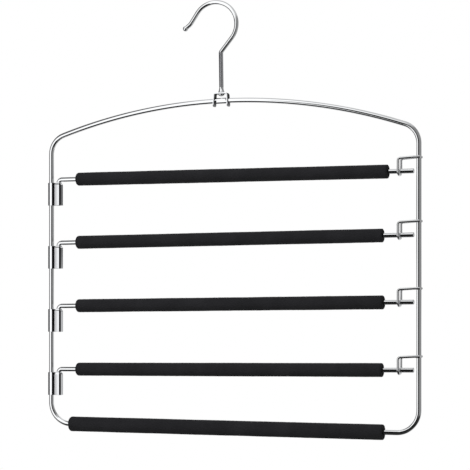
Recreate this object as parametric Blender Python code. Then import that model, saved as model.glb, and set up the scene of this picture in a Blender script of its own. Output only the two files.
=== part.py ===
# Multi tier trouser hanger: a bent wire frame below a swivel hook. Four padded arms turn on pins at its
# left side and rest with their free ends in wire keepers at its right side. A fifth padded bar is the
# frame's own bottom run.
# Metres, +Z up, +X to the right seen from the front (-Y). The origin is where the hook rests on its rail.

import math

import bmesh
import bpy
from mathutils import Matrix, Vector

# Fits
SEAT_GAP = 0.0003
RUNNING_GAP = 0.00025
EDGE_STEP = 0.00005
CUT_OVERRUN = 0.001

# Frame wire, between centre lines
FRAME_WIRE_DIAMETER = 0.0050
FRAME_WIDTH = 0.3916
ARCH_RADIUS = 0.577
SHOULDER_RADIUS = 0.020
BOTTOM_CORNER_RADIUS = 0.022
FLAT_HEIGHT = 0.0059
FLAT_DEPTH = 0.0040
FLAT_LENGTH = 0.0095
FLAT_RUN_OUT = 0.0015

# Tiers, between centre lines
TIER_COUNT = 4
FIRST_TIER_DROP = 0.0751
TIER_PITCH = 0.0655
LAST_TIER_DROP = 0.0565

# Hook
HOOK_WIRE_DIAMETER = 0.0044
HOOK_BEND_RADIUS = 0.0212
HOOK_START_ANGLE = math.radians(155)
HOOK_RETURN_ANGLE = math.radians(41.6)
HOOK_NECK_BEND_RADIUS = 0.010
HOOK_SHANK_OFFSET = 0.0058
HOOK_SHANK_LENGTH = 0.0359
FLARE_LEAD = 0.0015
FLARE_RADIUS = 0.025
FLARE_ANGLE = math.radians(30)
FLARE_TIP_LENGTH = 0.006
TIP_BALL_DIAMETER = 0.0054
SHOULDER_CONE_HEIGHT = 0.0046
SHOULDER_CONE_DIAMETER = 0.0060
HOOK_NECK_DIAMETER = 0.0038
RIVET_HEAD_DIAMETER = 0.0062
RIVET_HEAD_HEIGHT = 0.0023

# Saddle that hangs the frame on the hook
SADDLE_OFFSET = 0.0074
SADDLE_THICKNESS = 0.0011
SADDLE_TOP_WIDTH = 0.0149
SADDLE_BEND_RADIUS = 0.0020
SADDLE_SPLAY = math.radians(3.2)
SADDLE_HEAD_CLEARANCE = 0.0018
SADDLE_LEG_TAIL = 0.0035
SADDLE_EDGE_MARGIN = 0.0012
SADDLE_CORNER_RADIUS = 0.0025

# Arms
ARM_WIRE_DIAMETER = 0.0042
ELBOW_RADIUS = 0.0041
ARM_TIP_GAP = 0.0024
ARM_TIP_CHAMFER = 0.0006
ARM_TIP_RISES = (0.0, 0.0039, 0.0045, 0.0043)

# Pivot brackets, strip folded to two loops
BRACKET_HEIGHT = 0.0235
BRACKET_TOP_DROP = 0.0033
BRACKET_STRIP_THICKNESS = 0.0007
BRACKET_LOOP_SPACE = 0.0009
BRACKET_CORNER_RADIUS = 0.0013
BRACKET_RIM_HEIGHT = 0.0024

# Pin end and its retaining ring
PIN_END_INSET = 0.0005
PIN_FOOT_HEIGHT = 0.0012
GROOVE_DIAMETER = 0.0030
RING_HEIGHT = 0.0016
RING_OUTER_DIAMETER = 0.0055
RING_SLIT = 0.0014

# Keepers
KEEPER_WIRE_DIAMETER = 0.0025
KEEPER_SIDE_PLAY = 0.0007
KEEPER_REACH = 0.0193
KEEPER_RUN_RISE = 0.0133
KEEPER_RUN_SAG = 0.0009
KEEPER_CORNER_RADIUS = 0.0025
KEEPER_SKEW = 0.0010
KEEPER_OVERHANG = 0.0026

# Foam sleeves
ARM_FOAM_DIAMETER = 0.0135
ARM_FOAM_START = 0.0212
ARM_FOAM_MARGINS = (0.0113, 0.0163, 0.0158, 0.0168)
BOTTOM_FOAM_DIAMETER = 0.0152
BOTTOM_FOAM_LEFT_INSET = 0.0215
BOTTOM_FOAM_RIGHT_INSET = 0.0352
FOAM_LEFT_ROUNDING = 0.0025
FOAM_RIGHT_ROUNDING = 0.0013

# Facets
BEND_STEPS = 8
ARCH_STEPS = 28
HOOK_STEPS = 20
BALL_STEPS = 6
TURN_STEPS = 24
BORE_STEPS = 20

# Places that the sizes above set
FRAME_RADIUS = FRAME_WIRE_DIAMETER / 2
HOOK_RADIUS = HOOK_WIRE_DIAMETER / 2
ARM_RADIUS = ARM_WIRE_DIAMETER / 2
KEEPER_RADIUS = KEEPER_WIRE_DIAMETER / 2
SHANK_X = HOOK_SHANK_OFFSET
FRAME_X = SHANK_X + SADDLE_OFFSET
LEFT_X = FRAME_X - FRAME_WIDTH / 2
RIGHT_X = FRAME_X + FRAME_WIDTH / 2
FRAME_LOOP_HALF = FRAME_RADIUS + SEAT_GAP + BRACKET_STRIP_THICKNESS
RING_BORE_RADIUS = RING_OUTER_DIAMETER / 2 + RUNNING_GAP
PIN_BORE_RADIUS = ARM_RADIUS + RUNNING_GAP
PIN_LOOP_HALF = RING_BORE_RADIUS + BRACKET_STRIP_THICKNESS
RIM_HALF = PIN_BORE_RADIUS + BRACKET_STRIP_THICKNESS
PIVOT_OFFSET = FRAME_LOOP_HALF + BRACKET_LOOP_SPACE + PIN_LOOP_HALF
PIVOT_X = LEFT_X + PIVOT_OFFSET
TIP_REACH = FRAME_WIDTH - PIVOT_OFFSET - FRAME_RADIUS - ARM_TIP_GAP
KEEPER_X = RIGHT_X - KEEPER_REACH


def clear_scene():
    for obj in list(bpy.data.objects):
        bpy.data.objects.remove(obj, do_unlink=True)


def make_material(name, colour, metallic, roughness):
    material = bpy.data.materials.new(name)
    material.use_nodes = True
    shader = material.node_tree.nodes["Principled BSDF"]
    shader.inputs["Base Color"].default_value = (*colour, 1)
    shader.inputs["Metallic"].default_value = metallic
    shader.inputs["Roughness"].default_value = roughness
    material.diffuse_color = (*colour, 1)
    return material


def place(obj, material, location, parent=None):
    obj.data.materials.append(material)
    obj.location = location
    obj.parent = parent
    bpy.context.scene.collection.objects.link(obj)
    return obj


def place_mesh(name, mesh, material, location, parent=None):
    return place(bpy.data.objects.new(name, mesh), material, location, parent)


# Points of an arc in a plane, from one angle to another, both ends included
def arc(centre_x, centre_y, radius, start, end, steps):
    points = []
    for step in range(steps + 1):
        angle = start + (end - start) * step / steps
        points.append((centre_x + radius * math.cos(angle), centre_y + radius * math.sin(angle)))
    return points


def upright(points):
    return [Vector((x, 0, z)) for x, z in points]


# A round wire along a path, with a radius at each point where it isn't the wire's own
def make_wire(name, path, radius, sides, closed=False, radii=None):
    curve = bpy.data.curves.new(name, "CURVE")
    curve.dimensions = "3D"
    curve.bevel_depth = radius
    curve.bevel_resolution = sides // 2 - 2
    curve.use_fill_caps = True
    spline = curve.splines.new("POLY")
    spline.points.add(len(path) - 1)
    for index, point in enumerate(path):
        spline.points[index].co = (*point, 1)
        if radii:
            spline.points[index].radius = radii[index] / radius
    spline.use_cyclic_u = closed
    return bpy.data.objects.new(name, curve)


# A solid between outlines in the XY plane that have the same number of points, each at its height
def lofted_mesh(name, levels):
    bm = bmesh.new()
    loops = [[bm.verts.new((x, y, height)) for x, y in outline] for height, outline in levels]
    bm.faces.new(loops[0])
    bm.faces.new(loops[-1])
    for lower, upper in zip(loops, loops[1:]):
        for i in range(len(lower)):
            bm.faces.new((lower[i - 1], lower[i], upper[i], upper[i - 1]))
    bmesh.ops.recalc_face_normals(bm, faces=bm.faces)
    mesh = bpy.data.meshes.new(name)
    bm.to_mesh(mesh)
    bm.free()
    return mesh


def extruded_mesh(name, outline, height):
    return lofted_mesh(name, [(0, outline), (height, outline)])


# A turned solid: a closed profile of (height, radius) points, spun about Z
def turned_mesh(name, profile, steps):
    bm = bmesh.new()
    verts = [bm.verts.new((radius, 0, height)) for height, radius in profile]
    edges = [bm.edges.new((verts[i - 1], verts[i])) for i in range(len(verts))]
    bmesh.ops.spin(bm, geom=verts + edges, cent=(0, 0, 0), axis=(0, 0, 1), angle=2 * math.pi,
                   steps=steps, use_merge=True)
    bmesh.ops.recalc_face_normals(bm, faces=bm.faces)
    mesh = bpy.data.meshes.new(name)
    bm.to_mesh(mesh)
    bm.free()
    return mesh


def rod_mesh(name, radius, bottom, top, steps):
    bm = bmesh.new()
    bmesh.ops.create_circle(bm, cap_ends=True, radius=radius, segments=steps)
    bmesh.ops.translate(bm, vec=(0, 0, bottom), verts=bm.verts)
    side = bmesh.ops.extrude_face_region(bm, geom=list(bm.faces))["geom"]
    risen = [item for item in side if isinstance(item, bmesh.types.BMVert)]
    bmesh.ops.translate(bm, vec=(0, 0, top - bottom), verts=risen)
    bmesh.ops.recalc_face_normals(bm, faces=bm.faces)
    mesh = bpy.data.meshes.new(name)
    bm.to_mesh(mesh)
    bm.free()
    return mesh


def shade(mesh, degrees):
    mesh.shade_smooth()
    mesh.set_sharp_from_angle(angle=math.radians(degrees))
    return mesh


# The mesh that is left when cutters are taken out of a body. A cutter is a mesh and where it stands.
def drilled_mesh(name, body_mesh, cutters):
    scene = bpy.context.scene
    body = bpy.data.objects.new(name + "_blank", body_mesh)
    scene.collection.objects.link(body)
    helpers = []
    for cutter_mesh, matrix in cutters:
        cutter = bpy.data.objects.new(name + "_cutter", cutter_mesh)
        cutter.matrix_world = matrix
        cutter.hide_render = True
        cutter.display_type = "WIRE"
        scene.collection.objects.link(cutter)
        cut = body.modifiers.new("Cut", "BOOLEAN")
        cut.operation = "DIFFERENCE"
        cut.solver = "EXACT"
        cut.object = cutter
        helpers.append(cutter)
    bpy.context.view_layer.update()
    depsgraph = bpy.context.evaluated_depsgraph_get()
    mesh = bpy.data.meshes.new_from_object(body.evaluated_get(depsgraph))
    mesh.name = name
    for helper in helpers + [body]:
        bpy.data.objects.remove(helper, do_unlink=True)
    return mesh


# Hook: the bend's centre line seen from the front, with its shank on x = 0
def hook_bend_centre():
    return -HOOK_SHANK_OFFSET, HOOK_RADIUS - HOOK_BEND_RADIUS


# Height at which the bend below the hook's return run ends and the straight shank begins
def shank_top():
    centre_x, centre_z = hook_bend_centre()
    leave_x = centre_x + HOOK_BEND_RADIUS * math.cos(HOOK_RETURN_ANGLE)
    leave_z = centre_z - HOOK_BEND_RADIUS * math.sin(HOOK_RETURN_ANGLE)
    enter_x = HOOK_NECK_BEND_RADIUS * (1 - math.cos(HOOK_RETURN_ANGLE))
    enter_z = leave_z + (enter_x - leave_x) / math.tan(HOOK_RETURN_ANGLE)
    return enter_z - HOOK_NECK_BEND_RADIUS * math.sin(HOOK_RETURN_ANGLE)


def saddle_top():
    return shank_top() - HOOK_SHANK_LENGTH - SHOULDER_CONE_HEIGHT - SEAT_GAP


# Height of the arch's crown, low enough for the rivet head to clear the frame wire
def crown_z():
    head_room = SADDLE_THICKNESS + SEAT_GAP + RIVET_HEAD_HEIGHT + SADDLE_HEAD_CLEARANCE
    return saddle_top() - head_room - FRAME_RADIUS


def arch_z(x):
    across = x - FRAME_X
    return crown_z() - ARCH_RADIUS + math.sqrt(ARCH_RADIUS ** 2 - across ** 2)


# Ball tip, from its far pole to where it meets the wire: distance back from the ball's centre, and radius
def ball_profile():
    radius = TIP_BALL_DIAMETER / 2
    pole_angle = math.radians(165)
    wire_angle = math.asin(HOOK_RADIUS / radius)
    profile = []
    for step in range(BALL_STEPS + 1):
        angle = pole_angle + (wire_angle - pole_angle) * step / BALL_STEPS
        profile.append((radius * math.cos(angle), radius * math.sin(angle)))
    return profile


# Shoulder cone, neck and rivet head at the shank's foot: height and radius, from the top down
def foot_profile():
    cone_foot = saddle_top() + SEAT_GAP
    head_top = saddle_top() - SADDLE_THICKNESS - SEAT_GAP
    cone_radius = SHOULDER_CONE_DIAMETER / 2
    neck_radius = HOOK_NECK_DIAMETER / 2
    head_radius = RIVET_HEAD_DIAMETER / 2
    dome_shares = ((0.0, 1.0), (0.35, 1.0), (0.65, 0.9), (0.88, 0.65), (1.0, 0.3))
    waist_share = 0.4
    swell_share = 0.3
    waist_height = cone_foot + SHOULDER_CONE_HEIGHT * waist_share
    waist_radius = HOOK_RADIUS + (cone_radius - HOOK_RADIUS) * swell_share
    profile = [
        (cone_foot + SHOULDER_CONE_HEIGHT, HOOK_RADIUS),
        (waist_height, waist_radius),
        (cone_foot + EDGE_STEP, cone_radius),
        (cone_foot, neck_radius),
        (head_top, neck_radius),
    ]
    for drop_share, radius_share in dome_shares:
        height = head_top - EDGE_STEP - (RIVET_HEAD_HEIGHT - EDGE_STEP) * drop_share
        profile.append((height, head_radius * radius_share))
    return profile


def hook_path():
    centre_x, centre_z = hook_bend_centre()
    bend = arc(centre_x, centre_z, HOOK_BEND_RADIUS, HOOK_START_ANGLE, -HOOK_RETURN_ANGLE, HOOK_STEPS)
    neck = arc(HOOK_NECK_BEND_RADIUS, shank_top(), HOOK_NECK_BEND_RADIUS,
               math.pi - HOOK_RETURN_ANGLE, math.pi, BEND_STEPS // 2)
    start_x, start_z = bend[0]
    along_x = -math.sin(HOOK_START_ANGLE)
    along_z = math.cos(HOOK_START_ANGLE)
    lead_x = start_x + along_x * FLARE_LEAD
    lead_z = start_z + along_z * FLARE_LEAD
    flare_start = HOOK_START_ANGLE - math.pi
    flare = arc(lead_x - FLARE_RADIUS * math.cos(flare_start), lead_z - FLARE_RADIUS * math.sin(flare_start),
                FLARE_RADIUS, flare_start, flare_start - FLARE_ANGLE, BEND_STEPS // 2)
    end_x, end_z = flare[-1]
    tip_x = math.sin(flare_start - FLARE_ANGLE)
    tip_z = -math.cos(flare_start - FLARE_ANGLE)
    path = []
    radii = []
    for back, radius in ball_profile():
        reach = FLARE_TIP_LENGTH - back
        path.append((end_x + tip_x * reach, end_z + tip_z * reach))
        radii.append(radius)
    path += flare[::-1] + bend + neck
    radii += [HOOK_RADIUS] * (len(flare) + len(bend) + len(neck))
    for height, radius in foot_profile():
        path.append((0, height))
        radii.append(radius)
    return upright(path), radii


def make_hook(material):
    path, radii = hook_path()
    hook = make_wire("hook", path, HOOK_RADIUS, 14, radii=radii)
    return place(hook, material, (SHANK_X, 0, 0))


# Middle line of the saddle's strip, moved outwards by an offset, from the left leg's foot to the right's
def saddle_line(offset):
    leg_drop = saddle_top() - crown_z() + FRAME_RADIUS + SADDLE_LEG_TAIL
    mid = SADDLE_THICKNESS / 2
    bend_x = SADDLE_TOP_WIDTH / 2 - mid - SADDLE_BEND_RADIUS
    bend_z = -mid - SADDLE_BEND_RADIUS
    right = arc(bend_x, bend_z, SADDLE_BEND_RADIUS + offset, math.pi / 2, SADDLE_SPLAY, BEND_STEPS // 2)
    foot_x, foot_z = right[-1]
    right.append((foot_x + (foot_z + leg_drop) * math.tan(SADDLE_SPLAY), -leg_drop))
    left = [(-x, z) for x, z in reversed(right)]
    return left + right


def make_saddle(material):
    half = SADDLE_THICKNESS / 2
    outline = saddle_line(half) + saddle_line(-half)[::-1]
    hole_radius = FRAME_RADIUS + SEAT_GAP
    width = 2 * (hole_radius + SADDLE_EDGE_MARGIN)
    mesh = extruded_mesh("hook_saddle", outline, width)
    mesh.transform(Matrix.Rotation(math.pi / 2, 4, "X") @ Matrix.Translation((0, 0, -width / 2)))
    round_leg_ends(mesh)
    cutters = [(rod_mesh("neck_hole", HOOK_NECK_DIAMETER / 2 + RUNNING_GAP, -SADDLE_THICKNESS - CUT_OVERRUN,
                         CUT_OVERRUN, BORE_STEPS), Matrix.Identity(4))]
    leg_x = SADDLE_TOP_WIDTH / 2
    reach = SADDLE_THICKNESS + SADDLE_BEND_RADIUS
    for side in (-1, 1):
        centre = Vector((side * leg_x, 0, arch_z(SHANK_X + side * leg_x) - saddle_top()))
        turn = Matrix.Rotation(math.pi / 2, 4, "Y")
        cutters.append((rod_mesh("wire_hole", hole_radius, -reach, reach, BORE_STEPS),
                        Matrix.Translation(centre) @ turn))
    mesh = shade(drilled_mesh("hook_saddle", mesh, cutters), 40)
    return place_mesh("hook_saddle", mesh, material, (SHANK_X, 0, saddle_top()))


def round_leg_ends(mesh):
    bm = bmesh.new()
    bm.from_mesh(mesh)
    foot_z = min(vert.co.z for vert in bm.verts)
    corners = []
    for edge in bm.edges:
        first, second = (vert.co for vert in edge.verts)
        at_foot = abs(first.z - foot_z) < EDGE_STEP and abs(second.z - foot_z) < EDGE_STEP
        if at_foot and abs(first.y - second.y) < EDGE_STEP:
            corners.append(edge)
    bmesh.ops.bevel(bm, geom=corners, offset=SADDLE_CORNER_RADIUS, segments=BEND_STEPS // 2,
                    profile=0.5, affect="EDGES")
    bm.to_mesh(mesh)
    bm.free()


# Closed centre line of the frame wire, clockwise from the bottom run's left end
def frame_path():
    half = FRAME_WIDTH / 2
    arch_centre = crown_z() - ARCH_RADIUS
    shoulder_x = half - SHOULDER_RADIUS
    centre_gap = ARCH_RADIUS - SHOULDER_RADIUS
    shoulder_z = arch_centre + math.sqrt(centre_gap ** 2 - shoulder_x ** 2)
    arch_angle = math.acos(shoulder_x / centre_gap)
    corner_x = half - BOTTOM_CORNER_RADIUS
    corner_z = bottom_z() + BOTTOM_CORNER_RADIUS
    quarter = math.pi / 2
    path = arc(-corner_x, corner_z, BOTTOM_CORNER_RADIUS, -quarter, -2 * quarter, BEND_STEPS)
    path += arc(-shoulder_x, shoulder_z, SHOULDER_RADIUS, math.pi, math.pi - arch_angle, BEND_STEPS)
    crown = arc(0, arch_centre, ARCH_RADIUS, math.pi - arch_angle, arch_angle, ARCH_STEPS)[1:]
    path += sorted(outside_flat(crown) + flat_stations())
    path += arc(shoulder_x, shoulder_z, SHOULDER_RADIUS, arch_angle, 0, BEND_STEPS)[1:]
    path += arc(corner_x, corner_z, BOTTOM_CORNER_RADIUS, 0, -quarter, BEND_STEPS)
    return upright(path)


def tier_z(tier):
    return crown_z() - FIRST_TIER_DROP - TIER_PITCH * tier


def bottom_z():
    return tier_z(TIER_COUNT - 1) - LAST_TIER_DROP


# Middle of the flat that keeps the saddle from sliding along the frame wire, in the frame's own x
def flat_x():
    return SHANK_X - FRAME_X


def outside_flat(points):
    reach = FLAT_LENGTH / 2 + FLAT_RUN_OUT + FRAME_RADIUS
    return [(x, z) for x, z in points if abs(x - flat_x()) > reach]


def flat_stations():
    ends = (FLAT_LENGTH / 2, FLAT_LENGTH / 2 + FLAT_RUN_OUT)
    places = [flat_x()] + [flat_x() + side * end for side in (-1, 1) for end in ends]
    return [(x, arch_z(FRAME_X + x)) for x in places]


# Presses the wire between the saddle's legs taller and thinner
def press_flat(mesh):
    for vert in mesh.vertices:
        on_arch = vert.co.z > crown_z() - FIRST_TIER_DROP
        if on_arch and abs(vert.co.x - flat_x()) < FLAT_LENGTH / 2 + FLAT_RUN_OUT / 2:
            middle = arch_z(FRAME_X + vert.co.x)
            vert.co.y *= FLAT_DEPTH / FRAME_WIRE_DIAMETER
            vert.co.z = middle + (vert.co.z - middle) * FLAT_HEIGHT / FRAME_WIRE_DIAMETER


def make_frame(material):
    wire = make_wire("frame_wire", frame_path(), FRAME_RADIUS, 14, closed=True)
    mesh = bpy.data.meshes.new_from_object(wire)
    mesh.name = "frame_wire"
    bpy.data.objects.remove(wire, do_unlink=True)
    press_flat(mesh)
    return place_mesh("frame_wire", mesh, material, (FRAME_X, 0, 0))


# A foam tube along +X, rounded at both ends, bored for its wire
def foam_mesh(name, diameter, wire_diameter, length):
    outer = diameter / 2
    bore = wire_diameter / 2 + SEAT_GAP
    profile = [(0, bore)]
    profile += [(-x, y) for x, y in arc(-FOAM_LEFT_ROUNDING, outer - FOAM_LEFT_ROUNDING,
                                        FOAM_LEFT_ROUNDING, 0, math.pi / 2, BEND_STEPS // 2)]
    profile += arc(length - FOAM_RIGHT_ROUNDING, outer - FOAM_RIGHT_ROUNDING,
                   FOAM_RIGHT_ROUNDING, math.pi / 2, 0, BEND_STEPS // 2)
    profile += [(length, bore)]
    mesh = shade(turned_mesh(name, profile, TURN_STEPS), 50)
    mesh.transform(Matrix.Rotation(math.pi / 2, 4, "Y"))
    return mesh


def make_bottom_foam(material):
    length = FRAME_WIDTH - BOTTOM_FOAM_LEFT_INSET - BOTTOM_FOAM_RIGHT_INSET
    mesh = foam_mesh("bottom_foam_sleeve", BOTTOM_FOAM_DIAMETER, FRAME_WIRE_DIAMETER, length)
    place_mesh("bottom_foam_sleeve", mesh, material, (LEFT_X + BOTTOM_FOAM_LEFT_INSET, 0, bottom_z()))


# Slope of an arm's run, from the elbow up to its tip
def arm_slope(tier):
    return math.atan(ARM_TIP_RISES[tier] / (TIP_REACH - ELBOW_RADIUS))


# Height of an arm's centre line above its elbow, at a distance from the pin's axis
def arm_rise(tier, reach):
    return (reach - ELBOW_RADIUS) * math.tan(arm_slope(tier))


def pin_foot_drop():
    return BRACKET_TOP_DROP + BRACKET_HEIGHT - PIN_END_INSET


# Arm wire seen from the front, with its pin on x = 0 and its run starting at z = 0: points and radii
def arm_path(tier):
    foot = -pin_foot_drop()
    groove_foot = foot + PIN_FOOT_HEIGHT
    groove_top = groove_foot + RING_HEIGHT + 2 * SEAT_GAP
    groove_radius = GROOVE_DIAMETER / 2
    tip_radius = ARM_RADIUS - ARM_TIP_CHAMFER
    slope = arm_slope(tier)
    path = [
        (0, foot),
        (0, foot + ARM_TIP_CHAMFER),
        (0, groove_foot),
        (0, groove_foot + EDGE_STEP),
        (0, groove_top - EDGE_STEP),
        (0, groove_top),
    ]
    radii = [tip_radius, ARM_RADIUS, ARM_RADIUS, groove_radius, groove_radius, ARM_RADIUS]
    elbow = arc(ELBOW_RADIUS, -ELBOW_RADIUS, ELBOW_RADIUS, math.pi, math.pi / 2 + slope, BEND_STEPS)
    tip_z = arm_rise(tier, TIP_REACH)
    back_x = TIP_REACH - ARM_TIP_CHAMFER * math.cos(slope)
    back_z = tip_z - ARM_TIP_CHAMFER * math.sin(slope)
    path += elbow + [(back_x, back_z), (TIP_REACH, tip_z)]
    radii += [ARM_RADIUS] * (len(elbow) + 1) + [tip_radius]
    return upright(path), radii


def make_arm(tier, wire_material, foam_material):
    name = f"arm_{tier + 1}"
    pivot = bpy.data.objects.new(name + "_pivot", None)
    pivot.location = (PIVOT_X, 0, tier_z(tier))
    bpy.context.scene.collection.objects.link(pivot)
    path, radii = arm_path(tier)
    rod = make_wire(name + "_rod", path, ARM_RADIUS, 12, radii=radii)
    place(rod, wire_material, (0, 0, 0), pivot)
    slope = arm_slope(tier)
    end = FRAME_WIDTH - PIVOT_OFFSET - KEEPER_REACH - ARM_FOAM_MARGINS[tier]
    length = (end - ARM_FOAM_START) / math.cos(slope)
    mesh = foam_mesh(name + "_foam_sleeve", ARM_FOAM_DIAMETER, ARM_WIRE_DIAMETER, length)
    start = (ARM_FOAM_START, 0, arm_rise(tier, ARM_FOAM_START))
    foam = place_mesh(name + "_foam_sleeve", mesh, foam_material, start, pivot)
    foam.rotation_euler = (0, -slope, 0)


# Strip folded to two loops: outline seen from above, frame wire at x = 0, pin at x = PIVOT_OFFSET.
# The frame wire's loop is round at its back, the pin's loop is a box with round corners.
def bracket_outline(pin_half):
    corner = BRACKET_CORNER_RADIUS
    steps = BEND_STEPS // 2
    quarter = math.pi / 2
    web = BRACKET_STRIP_THICKNESS
    frame_corner = FRAME_LOOP_HALF - corner
    pin_corner = pin_half - corner
    near_x = PIVOT_OFFSET - pin_corner
    far_x = PIVOT_OFFSET + pin_corner
    half = [(FRAME_LOOP_HALF, -web)]
    half += arc(frame_corner, -frame_corner, corner, 0, -quarter, steps)
    half += arc(0, 0, FRAME_LOOP_HALF, -quarter, -2 * quarter, BEND_STEPS)[:-1]
    back = [(-FRAME_LOOP_HALF, 0)]
    pin = [(PIVOT_OFFSET - pin_half, -web)]
    pin += arc(near_x, -pin_corner, corner, 2 * quarter, 3 * quarter, steps)
    pin += arc(far_x, -pin_corner, corner, -quarter, 0, steps)
    lower = pin[::-1] + half + back
    upper = [(x, -y) for x, y in reversed(pin[::-1] + half)]
    return lower + upper


# The pin's loop is bored for the ring and drawn in at its rim to the pin
def bracket_mesh():
    step_z = BRACKET_HEIGHT - BRACKET_RIM_HEIGHT
    full = bracket_outline(PIN_LOOP_HALF)
    levels = [(0, full), (step_z, full), (BRACKET_HEIGHT, bracket_outline(RIM_HALF))]
    blank = lofted_mesh("pivot_bracket", levels)
    frame_bore = rod_mesh("frame_bore", FRAME_RADIUS + SEAT_GAP, -CUT_OVERRUN,
                          BRACKET_HEIGHT + CUT_OVERRUN, BORE_STEPS)
    ring_bore = rod_mesh("ring_bore", RING_BORE_RADIUS, -CUT_OVERRUN, step_z, BORE_STEPS)
    pin_bore = rod_mesh("pin_bore", PIN_BORE_RADIUS, step_z - CUT_OVERRUN,
                        BRACKET_HEIGHT + CUT_OVERRUN, BORE_STEPS)
    at_pin = Matrix.Translation((PIVOT_OFFSET, 0, 0))
    cutters = [(frame_bore, Matrix.Identity(4)), (ring_bore, at_pin), (pin_bore, at_pin)]
    return shade(drilled_mesh("pivot_bracket", blank, cutters), 40)


# Split ring, seen from above
def ring_mesh():
    outer = RING_OUTER_DIAMETER / 2
    inner = GROOVE_DIAMETER / 2 + RUNNING_GAP
    outer_slit = math.asin(RING_SLIT / 2 / outer)
    inner_slit = math.asin(RING_SLIT / 2 / inner)
    outline = arc(0, 0, outer, outer_slit, 2 * math.pi - outer_slit, TURN_STEPS - BEND_STEPS)
    outline += arc(0, 0, inner, 2 * math.pi - inner_slit, inner_slit, TURN_STEPS - BEND_STEPS)
    return shade(extruded_mesh("retaining_ring", outline, RING_HEIGHT), 40)


# Keeper hairpin, with the frame wire's axis on x = 0 and the arm's centre line at z = 0 where it lies in it
def keeper_path():
    frame_side = FRAME_RADIUS + SEAT_GAP + KEEPER_RADIUS
    leg_side = ARM_RADIUS + KEEPER_SIDE_PLAY + KEEPER_RADIUS
    seat_z = leg_side - KEEPER_RADIUS - ARM_RADIUS - SEAT_GAP
    front_x = -KEEPER_REACH - KEEPER_SKEW / 2
    rear_x = -KEEPER_REACH + KEEPER_SKEW / 2
    corner = KEEPER_CORNER_RADIUS
    corner_z = KEEPER_RUN_RISE - KEEPER_RUN_SAG - corner
    touch_x = -FRAME_RADIUS - KEEPER_RADIUS
    path = [Vector((KEEPER_OVERHANG, -frame_side, KEEPER_RUN_RISE)),
            Vector((touch_x, -frame_side, KEEPER_RUN_RISE))]
    for x, z in arc(front_x + corner, corner_z, corner, math.pi / 2, math.pi, BEND_STEPS // 2):
        path.append(Vector((x, -leg_side, z)))
    turn = arc(0, seat_z, leg_side, math.pi, 2 * math.pi, BEND_STEPS + 2)
    for index, (y, z) in enumerate(turn):
        share = index / (len(turn) - 1)
        path.append(Vector((front_x + (rear_x - front_x) * share, y, z)))
    for x, z in arc(rear_x + corner, corner_z, corner, math.pi, math.pi / 2, BEND_STEPS // 2):
        path.append(Vector((x, leg_side, z)))
    path.append(Vector((touch_x, frame_side, KEEPER_RUN_RISE)))
    path.append(Vector((KEEPER_OVERHANG, frame_side, KEEPER_RUN_RISE)))
    return path


def make_tier_fittings(tier, bracket, ring, materials):
    name = f"arm_{tier + 1}"
    top = tier_z(tier) - BRACKET_TOP_DROP
    place_mesh(name + "_pivot_bracket", bracket, materials["bracket"], (LEFT_X, 0, top - BRACKET_HEIGHT))
    ring_z = tier_z(tier) - pin_foot_drop() + PIN_FOOT_HEIGHT + SEAT_GAP
    place_mesh(name + "_retaining_ring", ring, materials["ring"], (PIVOT_X, 0, ring_z))
    keeper = make_wire(name + "_keeper", keeper_path(), KEEPER_RADIUS, 10)
    rise = arm_rise(tier, KEEPER_X - PIVOT_X)
    place(keeper, materials["keeper"], (RIGHT_X, 0, tier_z(tier) + rise))


def main():
    clear_scene()
    steel = (0.80, 0.80, 0.82)
    materials = {
        "frame": make_material("frame_steel", steel, 1.0, 0.10),
        "hook": make_material("hook_steel", steel, 1.0, 0.10),
        "saddle": make_material("saddle_steel", steel, 1.0, 0.14),
        "arm": make_material("arm_steel", steel, 1.0, 0.10),
        "bracket": make_material("bracket_steel", steel, 1.0, 0.14),
        "keeper": make_material("keeper_steel", steel, 1.0, 0.12),
        "ring": make_material("ring_steel", (0.55, 0.55, 0.57), 1.0, 0.30),
        "foam": make_material("black_foam", (0.018, 0.018, 0.021), 0.0, 0.85),
    }
    make_hook(materials["hook"])
    make_saddle(materials["saddle"])
    make_frame(materials["frame"])
    make_bottom_foam(materials["foam"])
    bracket = bracket_mesh()
    ring = ring_mesh()
    for tier in range(TIER_COUNT):
        make_arm(tier, materials["arm"], materials["foam"])
        make_tier_fittings(tier, bracket, ring, materials)
    bpy.context.view_layer.update()


main()
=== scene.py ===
# Looks of the multi tier trouser hanger: bright chromed wires, pressed steel fittings and black foam sleeves.
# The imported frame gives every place, so each piece is built straight on it.
from math import acos, asin, atan2, copysign, cos, hypot, pi, radians, sin, sqrt, tan

import bmesh
import bpy
from mathutils import Matrix, Vector


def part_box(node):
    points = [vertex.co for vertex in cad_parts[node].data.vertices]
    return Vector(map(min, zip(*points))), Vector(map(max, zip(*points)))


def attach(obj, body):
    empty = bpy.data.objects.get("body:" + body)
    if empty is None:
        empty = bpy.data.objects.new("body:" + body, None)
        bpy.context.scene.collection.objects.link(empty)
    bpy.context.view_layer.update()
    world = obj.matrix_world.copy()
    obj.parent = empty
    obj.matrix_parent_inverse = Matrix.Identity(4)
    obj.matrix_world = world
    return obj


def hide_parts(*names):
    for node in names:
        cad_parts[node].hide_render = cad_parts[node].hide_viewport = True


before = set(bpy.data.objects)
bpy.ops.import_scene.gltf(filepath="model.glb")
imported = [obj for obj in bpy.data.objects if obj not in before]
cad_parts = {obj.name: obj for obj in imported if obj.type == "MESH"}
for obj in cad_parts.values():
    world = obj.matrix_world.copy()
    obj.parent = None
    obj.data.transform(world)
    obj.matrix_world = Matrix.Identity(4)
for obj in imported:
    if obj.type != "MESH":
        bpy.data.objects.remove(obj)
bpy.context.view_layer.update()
tierNumbers = [1, 2, 3, 4]
saddleLow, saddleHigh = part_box("hook_saddle")
shankX = (saddleLow.x + saddleHigh.x) / 2


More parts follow.
